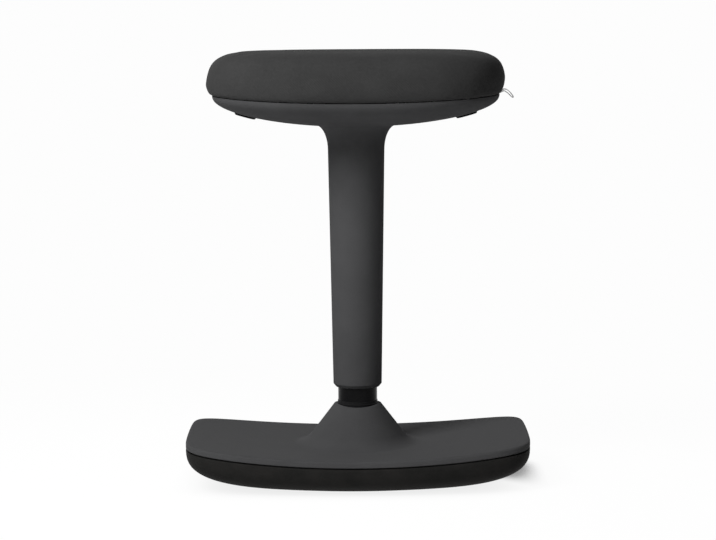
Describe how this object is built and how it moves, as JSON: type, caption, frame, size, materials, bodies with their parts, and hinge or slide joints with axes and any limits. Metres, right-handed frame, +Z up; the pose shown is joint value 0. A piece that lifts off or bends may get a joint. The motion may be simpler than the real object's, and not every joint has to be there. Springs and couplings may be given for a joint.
{
  "type": "perch stool",
  "caption": "Perch stool with an oblong padded seat on a height-adjusting gas lift inside a tapered sleeve, standing on a shallow curved rocker base.",
  "frame": {"origin": "on the floor under the middle of the column, at the centre of the base", "axes": "+Z up the column, +X to the right across the seat, +Y from the front of the seat to its back"},
  "size_m": [0.4364, 0.29, 0.548],
  "materials": {
    "charcoal_plastic": "fine matt texture",
    "black_plastic": "satin",
    "pale_nylon": "smooth",
    "black_rubber": "matt",
    "black_steel": "satin powder coat",
    "bright_steel": "ground or zinc plated",
    "charcoal_fabric": "fine woven upholstery",
    "grey_foam": "open cell",
    "grey_ribbon": "woven tape"
  },
  "bodies": {
    "base": {"rocker_sole": "black_rubber", "base_cover": "charcoal_plastic", "base_plate": "black_steel", "lift_socket": "black_steel", "hub_ring": "black_plastic", "base_screw_1": "bright_steel", "base_screw_2": "bright_steel", "base_screw_3": "bright_steel", "base_screw_4": "bright_steel", "base_screw_5": "bright_steel", "base_screw_6": "bright_steel", "lift_tube": "black_steel", "guide_bush": "pale_nylon", "lower_race": "bright_steel"},
    "bearing": {"ball_cage": "bright_steel"},
    "rod": {"piston_rod": "bright_steel", "upper_race": "bright_steel", "bump_stop": "black_rubber", "lift_piston": "bright_steel", "piston_seal": "black_rubber", "rod_washer": "bright_steel", "rod_clip": "bright_steel"},
    "seat": {"gas_cylinder": "black_steel", "rod_gland": "black_plastic", "seat_shell": "charcoal_plastic", "sleeve_bush": "pale_nylon", "mount_bracket": "black_steel", "seat_socket": "black_steel", "seat_board": "black_plastic", "seat_foam": "grey_foam", "cushion_cover": "charcoal_fabric", "pull_tab": "grey_ribbon", "bracket_bolt_1": "bright_steel", "bracket_bolt_2": "bright_steel", "bracket_bolt_3": "bright_steel", "bracket_bolt_4": "bright_steel", "tee_nut_1": "bright_steel", "tee_nut_2": "bright_steel", "tee_nut_3": "bright_steel", "tee_nut_4": "bright_steel", "shell_screw_1": "bright_steel", "shell_screw_2": "bright_steel", "shell_screw_3": "bright_steel", "shell_screw_4": "bright_steel", "lever_pin_left": "bright_steel", "lever_pin_right": "bright_steel", "lever_spring_left": "bright_steel", "lever_spring_right": "bright_steel"},
    "release_left": {"paddle_left": "black_plastic", "lever_left": "bright_steel"},
    "release_right": {"paddle_right": "black_plastic", "lever_right": "bright_steel"},
    "valve": {"valve_pin": "bright_steel", "valve_cap": "black_plastic", "valve_cross_pin": "bright_steel"}
  },
  "joints": [
    {"name": "swivel", "type": "hinge", "parent": "base", "child": "rod", "pos_m": [0, 0, 0], "axis": [0, 0, 1], "continuous": true},
    {"name": "bearing_turn", "type": "hinge", "parent": "base", "child": "bearing", "pos_m": [0, 0, 0], "axis": [0, 0, 1], "continuous": true},
    {"name": "height", "type": "slide", "parent": "rod", "child": "seat", "axis": [0, 0, 1], "range_m": [0, 0.2]},
    {"name": "paddle_left_pull", "type": "hinge", "parent": "seat", "child": "release_left", "pos_m": [-0.05, 0, 0.4805], "axis": [0, 1, 0], "range_deg": [0, 3.4], "stiffness_Nm_per_rad": 6, "springref_deg": -4.58, "deforming": ["lever_spring_left"]},
    {"name": "paddle_right_pull", "type": "hinge", "parent": "seat", "child": "release_right", "pos_m": [0.05, 0, 0.4805], "axis": [0, -1, 0], "range_deg": [0, 3.4], "stiffness_Nm_per_rad": 6, "springref_deg": -4.58, "deforming": ["lever_spring_right"]},
    {"name": "valve_travel", "type": "slide", "parent": "seat", "child": "valve", "axis": [0, 0, -1], "range_m": [0, 0.003], "stiffness_N_per_m": 1200, "springref_m": -0.004}
  ],
  "couplings": [
    {"joint": "bearing_turn", "follows": "swivel", "ratio": 0.5},
    {"joint": "paddle_right_pull", "follows": "paddle_left_pull", "ratio": 1},
    {"joint": "valve_travel", "follows": "paddle_left_pull", "m_per_rad": 0.05}
  ]
}
